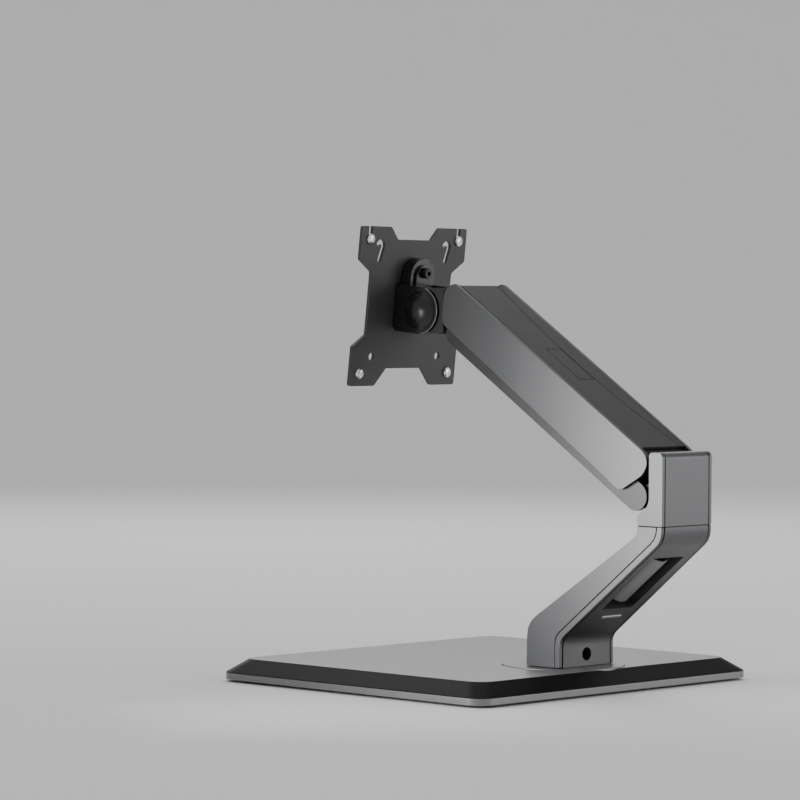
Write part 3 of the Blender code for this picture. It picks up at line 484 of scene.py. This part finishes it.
class MonitorArmStage(bpy.types.PropertyGroup):
    """Floor, lights and camera."""

    floor: bpy.props.FloatVectorProperty(
        name="Floor", description="Plain pale floor", subtype="COLOR", size=3, min=0, max=1,
        default=(0.84, 0.84, 0.84))
    side: bpy.props.FloatProperty(
        name="Side light", description="Power of the soft light beside the arm's left panel", unit="POWER",
        min=0, default=0.47)
    rear: bpy.props.FloatProperty(
        name="Rear light", description="Power of the soft light behind the arm", unit="POWER", min=0, default=10.0)
    front: bpy.props.FloatProperty(
        name="Front light", description="Power of the soft light over the screen side", unit="POWER",
        min=0, default=16.0)
    sky: bpy.props.FloatProperty(
        name="Sky", description="Strength of the even light from above", min=0, default=0.9)
    lens: bpy.props.FloatProperty(
        name="Lens", description="Focal length of the camera", unit="CAMERA", min=20, default=162.77)


# ---------------------------------------------------------------- operators

class ArmPiece(bpy.types.Operator):
    """Builds one group of the arm's pieces."""

    bl_idname = "monitor_arm.piece"
    bl_label = "Build Pieces"
    bl_options = {"REGISTER", "UNDO"}

    def execute(self, context):
        self.build(context.scene.monitor_arm_looks)
        return {"FINISHED"}


class MONITOR_ARM_OT_base(ArmPiece):
    """Base slab, its cover with a painted sheen on top and painted shade on its border, the pad below and the
    turntable
    """

    bl_idname = "monitor_arm.base"
    bl_label = "Base and Turntable"

    def build(self, looks):
        # painted light: the slab's edge band is finished lighter than the metal to show the light on it
        refine("base_slab", 0.0004, looks, "painted_light_grey")
        cover = refine("base_cover", 0.0005, looks)
        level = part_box("base_cover")[1].z - 0.00035
        # painted sheen: the top takes 2.3 times the metal colour; painted shade: the border takes the near-black
        # border colour
        material = sheen_and_shade_cover("arm_base_cover", shade_of(looks.metal, 2.3), looks.border, level)
        cover.data.materials.clear()
        cover.data.materials.append(material)
        # painted sheen: the turntable is finished twice as light as the metal
        refine("turntable_disc", 0.0003, looks, "painted_sheen_grey")
        refine("antislip_pad", 0.0004, looks)


class MONITOR_ARM_OT_riser(ArmPiece):
    """Bent riser: its core with the cable channel, side plates, insets and guide"""

    bl_idname = "monitor_arm.riser"
    bl_label = "Riser"

    def build(self, looks):
        refine("riser_core", 0.0005, looks, "space_grey", 3)
        for side in ("left", "right"):
            refine(f"riser_side_{side}", looks.edge, looks)
            refine(f"riser_inset_{side}", 0.00035, looks)
        # painted light: the cable guide is finished lighter than the metal to show the light on it
        refine("cable_guide", 0.0004, looks, "painted_light_grey")
        self.lip(looks)

    def lip(self, looks):
        """A small raised bar across the slanted face, below the cable channel, finished bright as a painted
        highlight.
        """
        spot, normal = surface_point("riser_core", (-0.0025, 0.1175, 0.02), (0, 0, 1))
        bar = block_mesh("channel_lip", (0.021, 0.0024, 0.0018))
        bar.transform(standing(normal, spot))
        piece = show_piece("channel_lip", bar, BODY_OF["riser_core"], "painted_highlight", looks)
        soften(piece, 0.0005)


class MONITOR_ARM_OT_housing(ArmPiece):
    """Joint housing on the riser: block, cheeks and rear shell"""

    bl_idname = "monitor_arm.housing"
    bl_label = "Joint Housing"

    def build(self, looks):
        refine("pivot_block", 0.0006, looks)
        for side in ("left", "right"):
            refine(f"housing_cheek_{side}", looks.edge, looks)
        refine("housing_rear_shell", 0.0006, looks)
        self.seam_shade_plate(looks)

    def seam_shade_plate(self, looks):
        """Painted shade: a thin near-black plate that fills the seam between the riser and the housing."""
        under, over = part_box("riser_core")[1].z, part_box("pivot_block")[0].z
        low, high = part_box("housing_cheek_left")
        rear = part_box("housing_rear_shell")[1].y
        front, half = low.y, high.x
        inset = 0.0007
        size = (2 * (half - inset), rear - front - 2 * inset, over - under - 0.0001)
        plate = block_mesh("painted_seam_shade", size, (0, (front + rear) / 2, (under + over) / 2))
        piece = show_piece("painted_seam_shade", plate, BODY_OF["pivot_block"], "painted_shade_black", looks)
        soften(piece, 0.0001, 1)


class MONITOR_ARM_OT_arm(ArmPiece):
    """Upper arm: side panels, frame and the covers on top"""

    bl_idname = "monitor_arm.arm"
    bl_label = "Upper Arm"

    def build(self, looks):
        for side in ("left", "right"):
            refine(f"arm_panel_{side}", looks.edge, looks)
        refine("arm_frame", 0.0005, looks)
        for node in ("cable_cover", "top_rail_cover", "cover_latch"):
            refine(node, 0.00025, looks)
        self.seams(looks)

    def seams(self, looks):
        """Painted shade: near-black beads in the bowed seam between the covers and round the press tab."""
        frame_of_arm = arm_frame_matrix()
        inward = frame_of_arm.inverted()
        rail = [inward @ vertex.co for vertex in frame["nodes"]["top_rail_cover"].data.vertices]
        top = max(point.z for point in rail)
        stations = sorted({round(point.y, 5) for point in rail})
        seam = []
        for y in stations:
            edge = max(point.x for point in rail if abs(point.y - y) < 0.00002)
            seam.append((edge + 0.00035, y, top - 0.00045))
        self.bead("cover_seam", [frame_of_arm @ Vector(point) for point in seam], 0.00045, False, looks)
        tab = [inward @ vertex.co for vertex in frame["nodes"]["cover_latch"].data.vertices]
        x0, x1 = (pick(point.x for point in tab) for pick in (min, max))
        y0, y1 = (pick(point.y for point in tab) for pick in (min, max))
        out = 0.0003
        loop = [(x0 - out, y0 - out), (x1 + out, y0 - out), (x1 + out, y1 + out), (x0 - out, y1 + out)]
        loop = [frame_of_arm @ Vector((x, y, top - 0.0004)) for x, y in loop]
        self.bead("latch_seam", loop, 0.00038, True, looks)

    def bead(self, name, points, radius, closed, looks):
        cord = bpy.data.curves.new(name, "CURVE")
        cord.dimensions = "3D"
        cord.bevel_depth = radius
        cord.bevel_resolution = 2
        spline = cord.splines.new("POLY")
        spline.points.add(len(points) - 1)
        for knot, point in zip(spline.points, points):
            knot.co = (*point, 1)
        spline.use_cyclic_u = closed
        piece = show_piece(name, cord, BODY_OF["cable_cover"], "painted_shade_black", looks)


class MONITOR_ARM_OT_link(ArmPiece):
    """Lower link of the parallel arm"""

    bl_idname = "monitor_arm.link"
    bl_label = "Lower Link"

    def build(self, looks):
        refine("lower_link", 0.0005, looks, "link_grey")


class MONITOR_ARM_OT_head(ArmPiece):
    """Knuckle, neck, tilting head, domed caps and their screws"""

    bl_idname = "monitor_arm.head"
    bl_label = "Head"

    def build(self, looks):
        refine("front_knuckle", 0.0006, looks)
        refine("swivel_neck", 0.0007, looks)
        refine("tilt_body", 0.0006, looks)
        for side, sign in (("left", 1), ("right", -1)):
            refine(f"tilt_cap_{side}", 0.0003, looks)
            self.rim(side, sign, looks)
        self.knob(looks)

    def rim(self, side, sign, looks):
        """Painted highlight: a thin bright bead along the rear edge of the tilting head, round the cap."""
        joint = JOINTS["head_tilt"]
        across = -sign * Vector(joint["axis"])
        forward = Vector(JOINTS["head_rotate"]["axis"])
        upright = forward.cross(across).normalized()
        upright *= 1 if upright.z > 0 else -1
        middle = Vector(joint["pos_m"]) + across * 0.01795
        bead = bpy.data.curves.new(f"painted_rim_highlight_{side}", "CURVE")
        bead.dimensions = "3D"
        bead.bevel_depth = 0.00028
        bead.bevel_resolution = 3
        bead.use_fill_caps = True
        spline = bead.splines.new("POLY")
        count = 36
        spline.points.add(count)
        for i in range(count + 1):
            angle = radians(-78 + 156 * i / count)
            point = middle + (upright * sin(angle) - forward * cos(angle)) * 0.0169
            spline.points[i].co = (*point, 1)
        # painted highlight finish on the bead
        show_piece(f"painted_rim_highlight_{side}", bead, BODY_OF["tilt_body"], "painted_highlight", looks)

    def knob(self, looks):
        """The rotation lock screw, with a ridged head and a hexagonal socket."""
        node = "rotation_lock_screw"
        outward = -Vector(JOINTS["head_rotate"]["axis"])
        spot, length = end_of(node, outward)
        head = ridged_mesh("head", 0.0039, 0.00028, 20, -0.0037, 0.0)
        shank = prism_mesh("shank", 20, 0.0025, -length, -0.0030)
        socket = prism_mesh("socket", 6, 0.0019, -0.0022, 0.001)
        body = carved(carved(head, [shank], "UNION"), [socket])
        body.transform(standing(outward, spot))
        soften(show_piece("rotation_knob", body, BODY_OF[node], "knob_black", looks, node), 0.00012, 2)


class MONITOR_ARM_OT_plate(ArmPiece):
    """Screen plate with its screws"""

    bl_idname = "monitor_arm.plate"
    bl_label = "Screen Plate"

    def build(self, looks):
        refine("vesa_plate", 0.0003, looks, "plate_coat")
        outward = -Vector(JOINTS["head_rotate"]["axis"])
        for number in range(1, 5):
            self.screw(f"monitor_screw_{number}", outward, looks)

    def screw(self, node, outward, looks):
        """A pan-headed screw with a cross recess."""
        spot, length = end_of(node, outward)
        profile = [(0, 0), (0.0013, -0.00002), (0.0025, -0.0002), (0.0034, -0.0006), (0.00385, -0.0011),
                   (0.0040, -0.0016), (0.0040, -0.0019), (0.0038, -0.0021), (0.0015, -0.0021),
                   (0.0015, 0.0004 - length), (0.0011, -length), (0, -length)]
        blank = turned_mesh(node, profile, 40)
        cross = [block_mesh("slot", size, (0, 0, 0)) for size in ((0.0046, 0.0009, 0.0022), (0.0009, 0.0046, 0.0022))]
        head = carved(blank, cross)
        turn = Matrix.Rotation(radians(18 + 25 * (hash_of(node) % 4)), 4, "Z")
        head.transform(standing(outward, spot) @ turn)
        show_piece(f"{node}_head", head, BODY_OF[node], "bright_screw", looks, node)


def hash_of(word):
    """A small steady number from a name."""
    return sum(ord(letter) for letter in word)


class MONITOR_ARM_OT_spring(ArmPiece):
    """Coil spring, kept at its frame shape and length"""

    bl_idname = "monitor_arm.spring"
    bl_label = "Coil Spring"

    def build(self, looks):
        node = "coil_spring"
        mesh = clean_copy(node)
        mesh.set_sharp_from_angle(angle=radians(50))
        piece = show_piece("pressed_spring", mesh, None, SLOT_OF[node], looks, node)
        axis = Vector(JOINTS["spring_travel"]["axis"])
        seat_end, length = end_of(node, axis)
        seat_end - axis * length
        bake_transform(piece)


class MONITOR_ARM_OT_hidden(ArmPiece):
    """Finishes on the pins, screws and other pieces that keep their frame shape"""

    bl_idname = "monitor_arm.hidden"
    bl_label = "Pins and Screws"

    def build(self, looks):
        for name, node in frame["nodes"].items():
            if node.hide_render:
                continue
            node.data.materials.clear()
            node.data.materials.append(finish_of(SLOT_OF[name], looks))
            node.data.shade_smooth()
            node.data.set_sharp_from_angle(angle=radians(35))


def soft_light(name, spot, target, size, power, spread=180.0):
    data = bpy.data.lights.new(name, "AREA")
    data.shape = "RECTANGLE"
    data.size, data.size_y = size
    data.energy = power
    data.spread = radians(spread)
    lamp = bpy.data.objects.new(name, data)
    bpy.context.scene.collection.objects.link(lamp)
    lamp.location = spot
    lamp.visible_camera = False
    lamp.rotation_euler = (Vector(target) - Vector(spot)).to_track_quat("-Z", "Y").to_euler()


class MONITOR_ARM_OT_stage(bpy.types.Operator):
    """Plain floor, soft lights and the camera"""

    bl_idname = "monitor_arm.stage"
    bl_label = "Studio"
    bl_options = {"REGISTER", "UNDO"}

    def execute(self, context):
        stage = context.scene.monitor_arm_stage
        self.bowl(stage)
        soft_light("side light", (0.44, -0.03, 0.165), (0.03, 0.20, 0.155), (0.20, 0.24), stage.side, 70.0)
        soft_light("rear light", (-1.1, 1.5, 0.42), (0, 0.1, 0.12), (1.4, 0.8), stage.rear)
        soft_light("front light", (-1.1, -1.4, 1.5), (0, 0, 0.1), (1.6, 1.6), stage.front)
        self.sky(context.scene)
        self.camera(context.scene, stage)
        return {"FINISHED"}

    def bowl(self, stage):
        """A floor that curves up into a wall all round, with no edge in sight."""
        low = CAD_BOX[0][2] - 0.0002
        bend = [(3.0 + 4.0 * sin(radians(a)), 4.0 - 4.0 * cos(radians(a))) for a in range(0, 91, 5)]
        profile = [(0, 0), (1.5, 0), *bend, (7.0, 5.5)]
        mesh = turned_mesh("studio_bowl", profile, 96)
        bowl = bpy.data.objects.new("studio_bowl", mesh)
        bpy.context.scene.collection.objects.link(bowl)
        bowl.location.z = low
        paper = Finish("studio_paper", 0.85, 0.0, Specular_IOR_Level=0.1)
        paper.feed(Base_Color=(*stage.floor, 1.0))
        mesh.materials.append(paper.material)

    def sky(self, scene):
        world = bpy.data.worlds.new("studio")
        scene.world = world
        world.use_nodes = True
        background = world.node_tree.nodes["Background"]
        background.inputs["Color"].default_value = (0.80, 0.80, 0.80, 1)
        background.inputs["Strength"].default_value = scene.monitor_arm_stage.sky

    def camera(self, scene, stage):
        """Looks from behind the arm, on its left, almost level with it."""
        bearing, height, roll = radians(133.716), radians(1.461), radians(0.335)
        back = Vector((sin(bearing) * cos(height), -cos(bearing) * cos(height), sin(height)))
        across = Vector((0, 0, 1)).cross(back).normalized()
        upright = back.cross(across)
        right = across * cos(roll) + upright * sin(roll)
        up = back.cross(right)
        data = bpy.data.cameras.new("camera")
        data.sensor_width = 36.0
        data.lens = stage.lens
        data.clip_end = 50
        camera = bpy.data.objects.new("camera", data)
        scene.collection.objects.link(camera)
        turn = Matrix((right, up, back)).transposed().to_4x4()
        camera.matrix_world = Matrix.Translation((1.96599, 1.79010, 0.27353)) @ turn
        scene.camera = camera


class MONITOR_ARM_PT_panel(bpy.types.Panel):
    """Sidebar panel of the monitor arm"""

    bl_label = "Monitor Arm"
    bl_idname = "MONITOR_ARM_PT_panel"
    bl_space_type = "VIEW_3D"
    bl_region_type = "UI"
    bl_category = "Monitor Arm"

    def draw(self, context):
        looks = context.scene.monitor_arm_looks
        stage = context.scene.monitor_arm_stage
        for group, names in ((looks, ("metal", "coat", "border", "plastic", "edge")),
                             (stage, ("floor", "side", "rear", "front", "sky", "lens"))):
            for name in names:
                self.layout.prop(group, name)
        for operator in OPERATORS:
            self.layout.operator(operator.bl_idname)


OPERATORS = (
    MONITOR_ARM_OT_base, MONITOR_ARM_OT_riser, MONITOR_ARM_OT_housing, MONITOR_ARM_OT_arm, MONITOR_ARM_OT_link,
    MONITOR_ARM_OT_head, MONITOR_ARM_OT_plate, MONITOR_ARM_OT_spring, MONITOR_ARM_OT_hidden,
    MONITOR_ARM_OT_stage,
)
CLASSES = (MonitorArmLooks, MonitorArmStage, *OPERATORS, MONITOR_ARM_PT_panel)


def register():
    for cls in CLASSES:
        bpy.utils.register_class(cls)
    bpy.types.Scene.monitor_arm_looks = bpy.props.PointerProperty(type=MonitorArmLooks)
    bpy.types.Scene.monitor_arm_stage = bpy.props.PointerProperty(type=MonitorArmStage)


def unregister():
    del bpy.types.Scene.monitor_arm_looks
    del bpy.types.Scene.monitor_arm_stage
    for cls in reversed(CLASSES):
        bpy.utils.unregister_class(cls)


def main():
    register()
    bpy.ops.monitor_arm.base()
    bpy.ops.monitor_arm.riser()
    bpy.ops.monitor_arm.housing()
    bpy.ops.monitor_arm.arm()
    bpy.ops.monitor_arm.link()
    bpy.ops.monitor_arm.head()
    bpy.ops.monitor_arm.plate()
    bpy.ops.monitor_arm.spring()
    bpy.ops.monitor_arm.hidden()
    bpy.ops.monitor_arm.stage()


if __name__ == "__main__":
    main()
